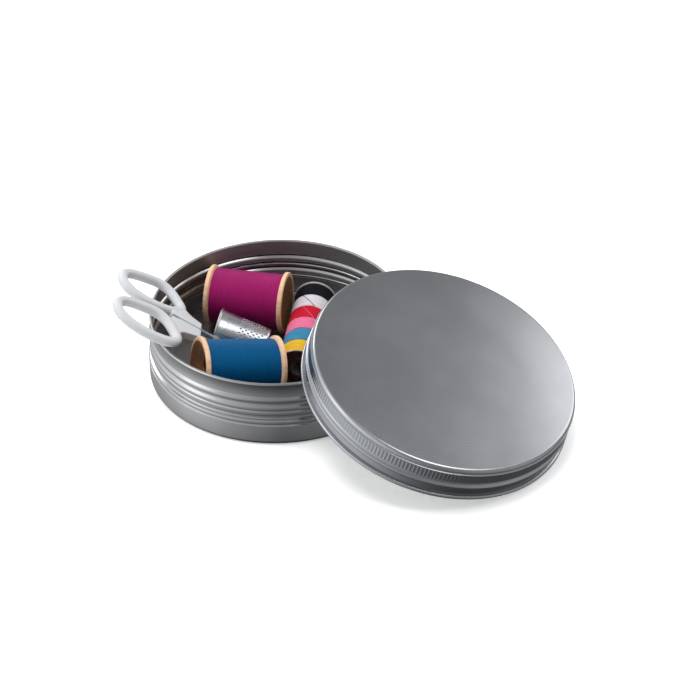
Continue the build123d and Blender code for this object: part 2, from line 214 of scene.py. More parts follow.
class Bench:
    """Modelling steps that the pieces share, each done with Blender's own operators."""

    @staticmethod
    def clear() -> None:
        """Leaves edit mode and deselects everything."""
        if bpy.context.mode != "OBJECT":
            bpy.ops.object.mode_set(mode="OBJECT")
        bpy.ops.object.select_all(action="DESELECT")

    @staticmethod
    def pick(*pieces: Piece) -> None:
        """Selects these pieces alone and makes the first one active."""
        Bench.clear()
        for piece in pieces:
            piece.select_set(True)
        bpy.context.view_layer.objects.active = pieces[0]

    @staticmethod
    def apply() -> None:
        """Applies the place, turn and scale of the active piece."""
        bpy.ops.object.transform_apply(location=True, rotation=True, scale=True)

    @staticmethod
    def edit() -> None:
        """Opens the active piece in edit mode, by its points, with all of them selected."""
        bpy.ops.object.mode_set(mode="EDIT")
        bpy.ops.mesh.select_mode(type="VERT")
        bpy.ops.mesh.select_all(action="SELECT")

    @staticmethod
    def close(merge: bool = True) -> None:
        """Points the faces of the mesh in edit mode outwards and leaves edit mode.

        Args:
            merge: Whether doubled points are merged first.
        """
        bpy.ops.mesh.select_all(action="SELECT")
        if merge:
            bpy.ops.mesh.remove_doubles(threshold=MERGE * MM)
        bpy.ops.mesh.normals_make_consistent(inside=False)
        bpy.ops.object.mode_set(mode="OBJECT")

    @staticmethod
    def select_where(test: Callable[[Vector], bool]) -> None:
        """Selects the points of the mesh in edit mode that pass a test.

        Args:
            test: Says whether a point at that place, in metres, is wanted.
        """
        mesh = bmesh.from_edit_mesh(bpy.context.active_object.data)
        mesh.select_mode = {"VERT"}
        for vertex in mesh.verts:
            vertex.select = test(vertex.co)
        mesh.select_flush_mode()
        bmesh.update_edit_mesh(bpy.context.active_object.data)

    @staticmethod
    def draw_out(step: Sequence[float], scale: Sequence[float], centre: Sequence[float]) -> None:
        """Extrudes what is selected and resizes its new end.

        Args:
            step: Way from the old end to the new one.
            scale: Size of the new end against the old one's, along each axis.
            centre: Point that the new end is resized about.
        """
        bpy.ops.mesh.extrude_region_move(TRANSFORM_OT_translate={"value": metres(*step)})
        if max(abs(share - 1) for share in scale) > 1e-9:
            bpy.ops.transform.resize(value=scale, center_override=metres(*centre))

    @staticmethod
    def finish_modifiers(piece: Piece) -> None:
        """Applies all modifiers of a piece, in order."""
        Bench.pick(piece)
        for modifier in list(piece.modifiers):
            bpy.ops.object.modifier_apply(modifier=modifier.name)

    @staticmethod
    def lathe(name: str, outline: Outline, segments: int) -> Piece:
        """Turns an outline about +Z, one extruded ring after another.

        Args:
            name: Name of the new piece.
            outline: Radius and height of each point. A radius of zero closes the end there,
                and a last point on the first closes the section.
            segments: Straight pieces round the turn.

        Returns:
            The new piece, at the origin.
        """
        Bench.clear()
        rings = [(max(radius, AXIS_RADIUS), height) for radius, height in outline]
        bpy.ops.mesh.primitive_circle_add(
            vertices=segments, radius=rings[0][0] * MM, location=metres(0, 0, rings[0][1]),
            fill_type="NOTHING",
        )
        piece = bpy.context.active_object
        piece.name = name
        Bench.apply()
        Bench.edit()
        for (radius, height), (next_radius, next_height) in zip(rings, rings[1:]):
            share = next_radius / radius
            Bench.draw_out((0, 0, next_height - height), (share, share, 1), (0, 0, next_height))
        Bench.close()
        return piece

    @staticmethod
    def strand(
        name: str, radius: float, thread: float, start: float, pitch: float,
        turns: int, steps: int, first_angle: float = 0.0, sweep: float = 360.0,
    ) -> Piece:
        """Winds a thread round +Z with the Screw modifier.

        Args:
            name: Name of the new piece.
            radius: From the axis to the middle of the thread.
            thread: Diameter of the thread.
            start: Height of its first turn.
            pitch: Height that a sweep gains.
            turns: Number of sweeps.
            steps: Straight pieces in a sweep.
            first_angle: Where the first turn starts.
            sweep: Angle of one sweep.

        Returns:
            The new piece, at the origin.
        """
        Bench.clear()
        bpy.ops.mesh.primitive_circle_add(
            vertices=THREAD_SIDES, radius=thread / 2 * MM, location=metres(radius, 0, start),
            rotation=(math.pi / 2, 0, 0), fill_type="NOTHING",
        )
        piece = bpy.context.active_object
        piece.name = name
        Bench.apply()
        screw = piece.modifiers.new("winding", "SCREW")
        screw.axis = "Z"
        screw.angle = math.radians(sweep)
        screw.screw_offset = pitch * MM
        screw.iterations = turns
        screw.steps = screw.render_steps = steps
        screw.use_smooth_shade = True
        Bench.finish_modifiers(piece)
        piece.rotation_euler = (0, 0, math.radians(first_angle))
        Bench.apply()
        Bench.edit()
        Bench.close(merge=False)
        return piece

    @staticmethod
    def join(name: str, *pieces: Piece) -> Piece:
        """Joins pieces into the first one and names it."""
        Bench.pick(*pieces)
        bpy.ops.object.join()
        pieces[0].name = name
        return pieces[0]

    @staticmethod
    def finished(
        piece: Piece, angle: float, finish: "Finish", body: str, slot: str, *nodes: str
    ) -> None:
        """Shades a piece, lays it in its place, dresses it and puts it on its body.

        Args:
            piece: The piece, made about the origin.
            angle: Shading is smooth over edges up to this angle.
            finish: Its finish, which knows its place.
            body: Body that it rides on.
            slot: Material slot of the record; not used.
            nodes: Nodes that it stands for.

        Raises:
            ValueError: If the piece has no faces, so that it would stand for its nodes unseen.
        """
        if not piece.data.polygons:
            raise ValueError("%s has no faces" % piece.name)
        Bench.pick(piece)
        bpy.ops.object.shade_smooth_by_angle(angle=math.radians(angle))
        piece.matrix_world = finish.where
        Bench.apply()
        piece.data.materials.clear()
        piece.data.materials.append(finish.material())
        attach(piece, body)
        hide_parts(*nodes)
        LOG.info("%s: %d faces on %s", piece.name, len(piece.data.polygons), body)


# ------------------------------------------------------------------ finishes


def shade(colour: Colour, factor: float, lift: float = 0.0) -> Colour:
    """A darker or lighter tone of a colour.

    Args:
        colour: The colour.
        factor: What each part of it is multiplied by.
        lift: What is added to each part.

    Returns:
        The tone, with no part over one.
    """
    return tuple(min(1.0, part * factor + lift) for part in colour)


class Sketchpad:
    """Adds and wires the nodes of one material or world."""

    def __init__(self, owner: bpy.types.ID, main: str) -> None:
        """Turns on the owner's nodes.

        Args:
            owner: The material or world.
            main: Name of the shader node that the others lead to.
        """
        owner.use_nodes = True
        self.tree = owner.node_tree
        self.shader = self.tree.nodes[main]

    def feed(self, socket: Socket, value: object) -> None:
        """Links an input to a socket, or sets it to a constant.

        Args:
            socket: The input.
            value: The socket or the constant.
        """
        if isinstance(value, Socket):
            self.tree.links.new(value, socket)
        else:
            socket.default_value = value

    def node(self, kind: str, inputs: dict, **settings: object) -> bpy.types.Node:
        """Adds a node.

        Args:
            kind: Its type.
            inputs: Socket or constant for each input, by name or number.
            settings: Its properties.

        Returns:
            The node.
        """
        made = self.tree.nodes.new(kind)
        for key, value in settings.items():
            setattr(made, key, value)
        for key, value in inputs.items():
            self.feed(made.inputs[key], value)
        return made

    def set(self, **values: object) -> None:
        """Feeds inputs of the shader, underscores standing for spaces."""
        for key, value in values.items():
            self.feed(self.shader.inputs[key.replace("_", " ")], value)

    def place(self, matrix: Matrix, scale: tuple[float, float, float] = (1, 1, 1)) -> Socket:
        """Coordinates in millimetres in a piece's own frame.

        Args:
            matrix: The piece's place.
            scale: Stretch of the pattern along its own axes.

        Returns:
            The socket that gives the coordinates.
        """
        source = self.node("ShaderNodeTexCoord", {})
        own = self.node("ShaderNodeMapping", {
            "Vector": source.outputs["Object"], "Location": matrix.translation,
            "Rotation": matrix.to_euler(), "Scale": (MM, MM, MM),
        }, vector_type="TEXTURE")
        inputs = {"Vector": own.outputs["Vector"], "Scale": scale}
        return self.node("ShaderNodeMapping", inputs).outputs["Vector"]

    def noise(self, where: Socket, scale: float, detail: float = 3.0) -> Socket:
        """Noise at coordinates in millimetres."""
        made = self.node("ShaderNodeTexNoise", {"Vector": where, "Scale": scale, "Detail": detail})
        return made.outputs["Fac"]

    def stripes(self, along: Socket, scale: float, detail: float) -> Socket:
        """Noise that changes along one value only."""
        inputs = {"W": along, "Scale": scale, "Detail": detail}
        return self.node("ShaderNodeTexNoise", inputs, noise_dimensions="1D").outputs["Fac"]

    def ramp(self, value: Socket, *stops: tuple[float, Colour]) -> Socket:
        """Colours a value with a ramp of stops."""
        made = self.node("ShaderNodeValToRGB", {"Fac": value})
        band = made.color_ramp
        while len(band.elements) < len(stops):
            band.elements.new(0.5)
        for element, (position, colour) in zip(band.elements, stops):
            element.position = position
            element.color = (*colour, 1)
        return made.outputs["Color"]

    def range(
        self, value: Socket, low: float, high: float, start: float = 0.0, end: float = 1.0
    ) -> Socket:
        """Maps a value onto a range.

        Args:
            value: The value.
            low: Result where the value is at the start, or before it.
            high: Result where the value is at the end, or past it.
            start: Value that gives the low result.
            end: Value that gives the high one.

        Returns:
            The socket that gives the result.
        """
        made = self.node("ShaderNodeMapRange", {
            "Value": value, "From Min": start, "From Max": end, "To Min": low, "To Max": high,
        })
        return made.outputs["Result"]

    def math(self, operation: str, *values: object) -> Socket:
        """Combines sockets or constants with a maths node."""
        return self.node("ShaderNodeMath", dict(enumerate(values)), operation=operation).outputs[0]

    def split(self, where: Socket) -> tuple[Socket, ...]:
        """The three coordinates apart."""
        return tuple(self.node("ShaderNodeSeparateXYZ", {0: where}).outputs)

    def radius(self, where: Socket) -> Socket:
        """Distance from the piece's own +Z axis."""
        squares = (self.math("MULTIPLY", part, part) for part in self.split(where)[:2])
        return self.math("SQRT", self.math("ADD", *squares))

    def unrolled(self, where: Socket, around: float, along: float) -> Socket:
        """Coordinates on the side of a round piece, laid flat.

        Args:
            where: Coordinates in the piece's own frame.
            around: Stretch of the angle round the piece.
            along: Stretch of the height.

        Returns:
            The socket that gives the coordinates.
        """
        x, y, height = self.split(where)
        turned = self.math("MULTIPLY", self.math("ARCTAN2", y, x), around)
        raised = self.math("MULTIPLY", height, along)
        return self.node("ShaderNodeCombineXYZ", {0: turned, 1: raised}).outputs[0]

    def blend(self, share: Socket, first: Socket, second: object) -> Socket:
        """Mixes two colours, the second one a socket or three numbers."""
        made = self.node("ShaderNodeMix", {"Factor": share}, data_type="RGBA")
        colours = {s.name: s for s in made.inputs if s.type == "RGBA"}
        self.feed(colours["A"], first)
        self.feed(colours["B"], (*second, 1) if isinstance(second, tuple) else second)
        return next(s for s in made.outputs if s.type == "RGBA")

    def bump(self, height: Socket, depth: float, strength: float) -> None:
        """Adds relief of a depth in millimetres to the shader, over any that it has."""
        inputs = {"Height": height, "Strength": strength, "Distance": depth * MM}
        for link in self.shader.inputs["Normal"].links:
            inputs["Normal"] = link.from_socket
        self.set(Normal=self.node("ShaderNodeBump", inputs).outputs["Normal"])


@dataclass(frozen=True)
class Finish:
    """What a piece is made of, at its place."""

    name: str
    where: Matrix

    def material(self) -> bpy.types.Material:
        """Makes the material."""
        made = bpy.data.materials.new(self.name)
        pad = Sketchpad(made, "Principled BSDF")
        self.paint(pad, pad.place(self.where))
        return made

    def paint(self, pad: Sketchpad, where: Socket) -> None:
        """Adds the material's nodes.

        Args:
            pad: The material's nodes so far.
            where: Coordinates in the piece's own frame.
        """
        raise NotImplementedError


class Grain(Enum):
    """How the surface of the sheet was finished."""

    SPUN = "rings round the axis"
    ROLLED = "fine lines across the sheet"


@dataclass(frozen=True)
class SatinAluminium(Finish):
    """Bare sheet aluminium with a soft shine."""

    tint: Colour
    roughness: float
    grain: Grain = Grain.SPUN
    inner_radius: float = 0.0
    inner_roughness: float = 0.5

    def paint(self, pad: Sketchpad, where: Socket) -> None:
        """Metal with cloudy tone, fine lines and faint handling marks."""
        cloud = pad.noise(where, 0.06, 4.0)
        tone = pad.ramp(cloud, (0.3, shade(self.tint, 0.93)), (0.7, shade(self.tint, 1.05)))
        spun = self.grain is Grain.SPUN
        if spun:
            away = pad.math("MULTIPLY", pad.radius(where), 0.9)
            relief = pad.stripes(pad.math("ADD", pad.split(where)[2], away), 3.2, 4.0)
            depth = 0.003
        else:
            relief = pad.noise(pad.place(self.where, (0.05, 0.7, 1.0)), 0.9, 1.0)
            depth = 0.0006
        smooth, dull = self.roughness - 0.012, self.roughness + 0.015
        rough = pad.math("ADD", pad.range(relief, -0.008, 0.008), pad.range(cloud, smooth, dull))
        if self.inner_radius:
            rough = pad.math("ADD", rough, self.inside(pad, where))
        pad.set(Base_Color=tone, Metallic=1.0, Roughness=rough)
        pad.bump(relief, depth, 0.5)
        if spun:
            pad.bump(pad.noise(where, 0.5, 2.0), 0.002, 0.25)

    def inside(self, pad: Sketchpad, where: Socket) -> Socket:
        """Extra roughness within the inner radius, above the floor's underside."""
        extra = self.inner_roughness - self.roughness
        outer, inner = self.inner_radius + 0.1, self.inner_radius - 0.1
        within = pad.range(pad.radius(where), 0.0, extra, outer, inner)
        above = pad.range(pad.split(where)[2], 0.0, 1.0, 0.15, 0.3)
        return pad.math("MULTIPLY", within, above)


@dataclass(frozen=True)
class TurnedWood(Finish):
    """Pale turned wood, darker inside the dished ends, partly end grain and partly painted shade.
    """

    rim: float
    pale: Colour = (0.66, 0.42, 0.265)
    # Dark brown inside the dished ends: partly end grain, partly painted shade of the recesses.
    deep: Colour = (0.25, 0.115, 0.05)

    def paint(self, pad: Sketchpad, where: Socket) -> None:
        """Grain along the turning axis, with lathe marks."""
        grain = pad.noise(pad.place(self.where, (1.0, 1.0, 0.12)), 1.1, 6.0)
        dark, light = shade(self.pale, 0.78), shade(self.pale, 1.08)
        face = pad.ramp(grain, (0.32, dark), (0.5, self.pale), (0.7, light))
        # Within the rim's radius the wood turns dark brown: partly end grain, partly painted shade
        # of the dished ends.
        hollow = pad.ramp(grain, (0.3, shade(self.deep, 0.6)), (0.7, self.deep))
        away = pad.radius(where)
        inside = pad.range(away, 0.0, 1.0, self.rim + 0.15, self.rim - 0.35)
        pad.set(Base_Color=pad.blend(inside, face, hollow), Roughness=pad.range(grain, 0.42, 0.6))
        pad.bump(pad.stripes(pad.math("ADD", away, pad.split(where)[2]), 2.6, 2.0), 0.05, 0.5)
        pad.bump(grain, 0.05, 0.5)


@dataclass(frozen=True)
class SewingThread(Finish):
    """Wound sewing thread with a soft sheen."""

    colour: Colour
    twist: float = 2.4
    gloss: float = 0.16

    def paint(self, pad: Sketchpad, where: Socket) -> None:
        """Streaks that follow the winding, and the twist of the yarn."""
        streak = pad.noise(pad.unrolled(where, 1.4, 2.2), 1.0, 5.0)
        dark, light = shade(self.colour, 0.8), shade(self.colour, 1.18, 0.001)
        dyed = tuple(math.sqrt(part / max(self.colour)) for part in self.colour)
        pad.set(
            Base_Color=pad.ramp(streak, (0.3, dark), (0.5, self.colour), (0.72, light)),
            Roughness=pad.range(streak, 0.46, 0.64), Sheen_Weight=0.03, Sheen_Roughness=0.4,
            Specular_IOR_Level=self.gloss, Specular_Tint=(*dyed, 1),
        )
        pad.bump(pad.noise(pad.unrolled(where, 26.0, 5.0), self.twist, 2.0), 0.06, 0.6)


@dataclass(frozen=True)
class MouldedPlastic(Finish):
    """White moulded plastic that lets a little light in."""

    tint: Colour = (0.52, 0.525, 0.54)
    roughness: float = 0.34

    def paint(self, pad: Sketchpad, where: Socket) -> None:
        """Faint mould texture over a soft body."""
        cloud = pad.noise(where, 0.35, 3.0)
        pad.set(
            Base_Color=pad.ramp(cloud, (0.3, shade(self.tint, 0.95)), (0.7, self.tint)),
            Roughness=pad.range(cloud, self.roughness - 0.05, self.roughness + 0.08),
            Subsurface_Weight=0.35, Subsurface_Radius=(0.9, 0.9, 1.0), Subsurface_Scale=1.2 * MM,
            Coat_Weight=0.12, Coat_Roughness=0.2,
        )
        pad.bump(pad.noise(where, 5.0, 3.0), 0.02, 0.3)


@dataclass(frozen=True)
class SilverMetal(Finish):
    """Plated or ground metal with a bright shine."""

    tint: Colour
    roughness: float
    lines: tuple[float, float, float] = (1.0, 1.0, 1.0)

    def paint(self, pad: Sketchpad, where: Socket) -> None:
        """Bright metal with a few soft scratches and dull spots."""
        cloud = pad.noise(where, 0.5, 5.0)
        tone = pad.ramp(cloud, (0.3, shade(self.tint, 0.84)), (0.65, self.tint))
        scratch = pad.noise(pad.place(self.where, self.lines), 3.0, 5.0)
        dull = pad.range(cloud, self.roughness, self.roughness + 0.08)
        rough = pad.math("ADD", pad.range(scratch, -0.04, 0.05), dull)
        pad.set(Base_Color=tone, Metallic=1.0, Roughness=rough)
        pad.bump(scratch, 0.01, 0.5)


@dataclass(frozen=True)
class SmokyPlastic(Finish):
    """Plastic with a light grey smoke in it, and a painted shade in dark red-brown at one end."""

    end_shade_from: float
    tint: Colour = (0.42, 0.41, 0.40)
    # Painted shade: the clear end, in shade, painted dark red-brown.
    end_shade_tint: Colour = (0.085, 0.022, 0.026)

    def paint(self, pad: Sketchpad, where: Socket) -> None:
        """Slightly frosted, with fine scuffs and the painted shade at one end."""
        scuff = pad.noise(where, 2.0, 5.0)
        # Past this height the colour turns dark red-brown, a painted shade of the tube's shaded
        # end.
        painted_end_shade = pad.range(pad.split(where)[2], 0.0, 1.0, self.end_shade_from - 0.1, self.end_shade_from + 0.1)
        smoke = pad.ramp(scuff, (0.3, shade(self.tint, 0.85)), (0.7, self.tint))
        pad.set(
            Base_Color=pad.blend(painted_end_shade, smoke, self.end_shade_tint),
            Roughness=pad.range(scuff, 0.12, 0.34), Transmission_Weight=0.2, IOR=1.49,
        )
        pad.bump(scuff, 0.01, 0.4)


@dataclass(frozen=True)
class ClosedFoam(Finish):
    """White closed-cell foam sheet of a lid's liner."""

    tint: Colour = (0.80, 0.80, 0.78)

    def paint(self, pad: Sketchpad, where: Socket) -> None:
        """Small round cells in a soft matt sheet."""
        inputs = {"Vector": where, "Scale": 2.1}
        cells = pad.node("ShaderNodeTexVoronoi", inputs, feature="SMOOTH_F1").outputs["Distance"]
        pad.set(
            Base_Color=pad.ramp(cells, (0.05, self.tint), (0.6, shade(self.tint, 0.86))),
            Specular_IOR_Level=0.25, Roughness=pad.range(pad.noise(where, 1.0), 0.55, 0.75),
        )
        pad.bump(cells, 0.08, 0.5)


# ------------------------------------------------------------------ tin


@dataclass
class TinBody:
    """The lower half: a drawn sheet tin with rolled rings and a rolled lip."""

    height: float = 22.3
    lower_radius: float = 41.6
    groove_radius: float = 40.3
    ridge_radius: float = 41.0
    bead_radius: float = 41.45
    foot_round: float = 2.0
    lip_round: float = 0.5
    matt_within: float = 40.2
    segments: int = 320

    def wall_corners(self) -> list[Corner]:
        """Corners of the outside, from the foot up to the neck, with their rounding."""
        low, groove, ridge = self.lower_radius, self.groove_radius, self.ridge_radius
        edge = self.bead_radius
        return [
            (0.0, 0.0, 0), (low - 6.0, 0.0, 0.5), (low - 5.4, 0.12, 0.4), (low - 3.6, 0.12, 0.4),
            (low - 3.0, 0.0, 0.4), (low, 0.0, self.foot_round), (low, 6.95, 0.2),
            (low - 0.42, 7.2, 0.2), (low - 0.42, 7.5, 0.2), (edge, 7.85, 0.35), (edge, 8.65, 0.4),
            (groove, 9.15, 0.5), (groove, 10.2, 0.5), (ridge, 10.75, 0.45), (ridge, 11.75, 0.4),
            (ridge - 0.33, 12.2, 0.25), (ridge, 12.65, 0.4), (ridge, 13.55, 0.45),
            (groove, 14.15, 0.55), (groove, 15.05, 0.5), (ridge, 15.65, 0.45), (ridge, 16.5, 0.45),
            (groove, 17.1, 0.5),
            (groove, self.height - self.lip_round, 0),
        ]

    def outline(self) -> Outline:
        """Closed section: outside, lip, inside and floor."""
        outside = soften(self.wall_corners(), 4)
        inside = moved_in(outside, SHEET)
        middle = (self.groove_radius - SHEET / 2, self.height - self.lip_round)
        lip = bead(middle, self.lip_round, -35, 250, 16)
        return outside[:-1] + lip + inside[::-1][1:]

    def build(self) -> None:
        """Turns the tin and dresses it."""
        tin = Bench.lathe("tin_shell", self.outline(), self.segments)
        finish = SatinAluminium(
            "tin_aluminium", Matrix.Identity(4), (0.48, 0.48, 0.485), 0.21,
            inner_radius=self.matt_within,
        )
        Bench.finished(tin, 35, finish, "tin", "tin_aluminium", "tin_body")


@dataclass
class Lid:
    """The lid: curled edge, bead, knurled band and flat panel, with a foam liner."""

    height: float = 12.0
    curl_radius: float = 42.48
    curl_round: float = 0.65
    skirt_radius: float = 41.75
    line_radius: float = 41.3
    top_radius: float = 41.49
    bead_radius: float = 42.1
    shoulder_round: float = 1.2
    panel_ring: float = 24.0
    ribs: int = 230
    rib_depth: float = 0.145
    rib_low: float = 6.75
    rib_high: float = 10.0
    liner_radius: float = 39.5
    liner_top: float = 11.55
    liner_thickness: float = 1.0
    place: Matrix = field(default_factory=lid_seat)

    def outside(self) -> Outline:
        """The outside from the groove over the curl up to the middle of the top."""
        skirt, line, edge = self.skirt_radius, self.line_radius, self.bead_radius
        top, turn = self.height, self.shoulder_round
        shoulder = bead((self.top_radius - turn, top - turn), turn, 0, 90, 10)
        return soften([
            (line, 1.25, 0), (line, 1.6, 0.15), (skirt, 1.95, 0.25), (skirt, 4.1, 0.3),
            (edge, 4.55, 0.3), (edge, 5.2, 0.3), (line, 5.75, 0.3), (line, 6.15, 0.12),
            (skirt, 6.5, 0.12), (skirt, 6.62, 0), (skirt, self.rib_low, 0),
            (skirt, self.rib_high, 0), (skirt, 10.1, 0), (skirt, 10.22, 0.1),
            (line, 10.42, 0.12), (line, 10.62, 0.1),
            *((r, z, 0) for r, z in shoulder), (self.panel_ring, top, 0), (0.0, top, 0),
        ])

    def outline(self) -> Outline:
        """Closed section: curl, outside, panel and inside."""
        outside = self.outside()
        middle = (self.curl_radius - self.curl_round, self.curl_round)
        curl = bead(middle, self.curl_round, 200, 280, 26)
        inner = [point for point in moved_in(outside, SHEET) if point[1] > 1.3][::-1]
        return curl[:-4] + outside + inner + [(self.line_radius - SHEET, 1.2), curl[0]]

    def knurl(self, shell: Piece) -> None:
        """Draws every second line of the band's points inwards, so that ribs stand between.

        Args:
            shell: The lid's sheet, still about +Z.
        """
        pitch = math.pi / self.ribs
        nearest, lowest, highest = metres(
            self.skirt_radius - 0.1, self.rib_low - 0.02, self.rib_high + 0.02
        )

        def in_band(place: Vector) -> bool:
            """Whether a point is on a hollow line of the band's outside."""
            if not lowest < place.z < highest or math.hypot(place.x, place.y) < nearest:
                return False
            return round(math.atan2(place.y, place.x) / pitch) % 2 == 1

        Bench.pick(shell)
        Bench.edit()
        Bench.select_where(in_band)
        share = 1 - self.rib_depth / self.skirt_radius
        bpy.ops.transform.resize(value=(share, share, 1), center_override=(0, 0, 0))
        Bench.clear()

    def build_shell(self) -> None:
        """Turns the sheet, knurls it and leans it on the tin."""
        shell = Bench.lathe("lid_sheet", self.outline(), 2 * self.ribs)
        self.knurl(shell)
        finish = SatinAluminium(
            "lid_aluminium", self.place, (0.47, 0.48, 0.50), 0.26, Grain.ROLLED
        )
        Bench.finished(shell, 28, finish, "lid_cover", "lid_aluminium", "lid_shell")

    def build_liner(self) -> None:
        """Turns the foam disc, with soft edges and a pressed ring."""
        top, low, out = self.liner_top, self.liner_top - self.liner_thickness, self.liner_radius
        pressed = low + 0.15
        outline = soften([
            (0, low, 0), (out - 3.2, low, 0.2), (out - 2.9, pressed, 0.2),
            (out - 2.1, pressed, 0.2), (out - 1.8, low, 0.2), (out, low, 0.3), (out, top, 0.2),
            (0, top, 0),
        ])
        liner = Bench.lathe("lid_foam", outline, 160)
        finish = ClosedFoam("liner_foam", self.place)
        Bench.finished(liner, 40, finish, "lid_pad", "liner_foam", "lid_liner")


# ------------------------------------------------------------------ spools


@dataclass
class ThreadSpool:
    """A turned wooden spool with thread wound between its flanges."""

    label: str
    body: str
    slot: str
    place: Matrix
    colour: Colour
    radius: float = 10.1
    length: float = 26.0
    flange_rim: float = 1.3
    flange_taper: float = 1.9
    barrel: float = 5.0
    bore: float = 2.5
    rim_width: float = 1.2
    dish_depth: float = 2.4
    thread_radius: float = 9.2
    thread: float = 0.34
    bed_below: float = 0.11
    crossings: tuple[Point, ...] = ((0.12, 1), (0.43, -1), (0.7, 1))

    def taper(self, radius: float) -> float:
        """From a flange's outer face to its inner face at a radius."""
        share = (self.radius - radius) / (self.radius - self.barrel)
        return self.flange_rim + self.flange_taper * share

    def wood_outline(self) -> Outline:
        """Closed section of the wood, from the bore round both flanges."""
        end = self.length / 2
        out, rim = self.radius, self.radius - self.rim_width
        neck = end - self.flange_rim - self.flange_taper
        upper = soften([
            (self.bore, 0.0, 0), (self.bore, end - self.dish_depth, 0.3), (rim, end, 0.45),
            (out, end, 0.4), (out, end - self.flange_rim, 0.35), (self.barrel, neck, 0.3),
            (self.barrel, 0.0, 0),
        ])
        lower = [(r, -z) for r, z in upper[::-1]]
        return lower[:-1] + upper

    def build_wood(self) -> None:
        """Turns the spool."""
        wood = Bench.lathe(self.label + "_wood", self.wood_outline(), 128)
        finish = TurnedWood(self.label + "_spool_wood", self.place, self.radius - self.rim_width)
        Bench.finished(wood, 40, finish, self.body, "spool_wood", self.label + "_spool")

    def build_thread(self) -> None:
        """Winds the thread: a full core, close turns over it and a few crossing ones."""
        outer = self.thread_radius - self.thread / 2
        bed = self.thread_radius - self.bed_below
        end = self.length / 2 - self.taper(self.thread_radius)
        low_end = self.length / 2 - self.taper(self.barrel)
        core = Bench.lathe(self.label + "_core", [
            (self.barrel, -low_end), (bed, -end), (bed, end), (self.barrel, low_end),
            (self.barrel, -low_end),
        ], 96)
        wound = 2 * end - self.thread
        turns = int(wound / (self.thread * 0.98))
        close = Bench.strand(
            self.label + "_turns", outer, self.thread, -end + self.thread / 2, wound / turns,
            turns, 64,
        )
        crossing = [
            Bench.strand(
                "%s_cross_%d" % (self.label, index), outer + 0.03, self.thread * 0.8,
                -end + 2 * end * share, way * 1.7, 2, 64, 100 * index,
            )
            for index, (share, way) in enumerate(self.crossings)
        ]
        thread = Bench.join(self.label + "_winding", close, core, *crossing)
        finish = SewingThread(self.slot, self.place, self.colour, gloss=0.95)
        Bench.finished(thread, 60, finish, self.body, self.slot, self.label + "_thread")


# ------------------------------------------------------------------ thimble


@dataclass
class Thimble:
    """A pressed metal thimble: rolled bead, plain band and rows of dimples."""

    place: Matrix
    length: float = 18.0
    mouth_radius: float = 7.5
    tip_radius: float = 5.8
    wall: float = 0.45
    dome: float = 0.7
    tip_round: float = 1.6
    bead_radius: float = 8.0
    bead_round: float = 0.5
    columns: int = 26
    dimple_start: float = 7.4
    dimple_pitch: float = 0.9
    plain_end: float = 2.6
    least_radius: float = 4.5
    dimple_rim: float = 0.08
    dimple_side: float = 0.18
    dimple_depth: float = 0.30

    def outline(self) -> Outline:
        """Closed section: inside, bead, outside and tip."""
        edge = self.length - self.dome
        outside = soften([
            (self.mouth_radius, 0.6, 0), (self.mouth_radius - 0.03, 1.2, 0.2),
            (self.side(3.0), 3.0, 0.2), (self.side(3.25), 3.25, 0.1), (self.side(3.6), 3.6, 0.1),
            (self.side(self.dimple_start), self.dimple_start, 0),
        ], 3)
        row = self.dimple_start
        while row + self.dimple_pitch < edge - 1.2:
            row += self.dimple_pitch
            outside.append((self.side(row), row))
        tip = soften([
            (self.side(row), row, 0), (self.tip_radius, edge, self.tip_round),
            (2.4, self.length - 0.2, 0.4), (0, self.length, 0),
        ], 6)
        inner = [
            (0.0, self.length - self.wall - 0.2),
            (self.tip_radius - self.wall, edge - self.wall - 0.8),
            (self.mouth_radius - self.wall, 0.3),
        ]
        turn = self.bead_round
        rolled = bead((self.bead_radius - turn, turn), turn, 190, 230, 16)
        return inner + rolled + outside + tip[1:]

    def side(self, along: float) -> float:
        """Outer radius at a distance from the mouth."""
        taper = self.tip_radius - self.mouth_radius
        return self.mouth_radius + taper * along / (self.length - self.dome)

    def dimple(self, shell: Piece) -> None:
        """Presses a staggered dimple into the side's faces.

        Args:
            shell: The thimble, still about +Z.
        """
        Bench.pick(shell)
        Bench.edit()
        bpy.ops.mesh.select_mode(type="FACE")
        mesh = bmesh.from_edit_mesh(shell.data)
        pitch = math.pi / self.columns
        start, stop, least = metres(
            self.dimple_start, self.length - self.plain_end, self.least_radius
        )
        for face in mesh.faces:
            middle = face.calc_center_median()
            reach = math.hypot(middle.x, middle.y)
            outward = face.normal.x * middle.x + face.normal.y * middle.y > 0
            row = int((middle.z - start) / (self.dimple_pitch * MM))
            column = int((math.atan2(middle.y, middle.x) + math.pi) / pitch)
            wanted = start < middle.z < stop and outward and reach > least
            face.select = wanted and (row + column) % 2 == 0
        bmesh.update_edit_mesh(shell.data)
        for inward, deep in ((self.dimple_rim, 0.0), (self.dimple_side, self.dimple_depth)):
            bpy.ops.mesh.inset(thickness=inward * MM, depth=-deep * MM, use_individual=True)
        Bench.clear()

    def build(self) -> None:
        """Turns and dimples the thimble, and lays it down."""
        shell = Bench.lathe("thimble_cup", self.outline(), 2 * self.columns)
        self.dimple(shell)
        rounding = shell.modifiers.new("rounding", "SUBSURF")
        rounding.levels = rounding.render_levels = 2
        Bench.finish_modifiers(shell)
        finish = SilverMetal("thimble_metal", self.place, (0.62, 0.63, 0.65), 0.24)
        Bench.finished(shell, 60, finish, "thimble_cup", "thimble_metal", "thimble")


# ------------------------------------------------------------------ scissors


class Side(Enum):
    """Which half of the scissors, seen from the front of the tin."""

    BACK = 1
    FRONT = -1


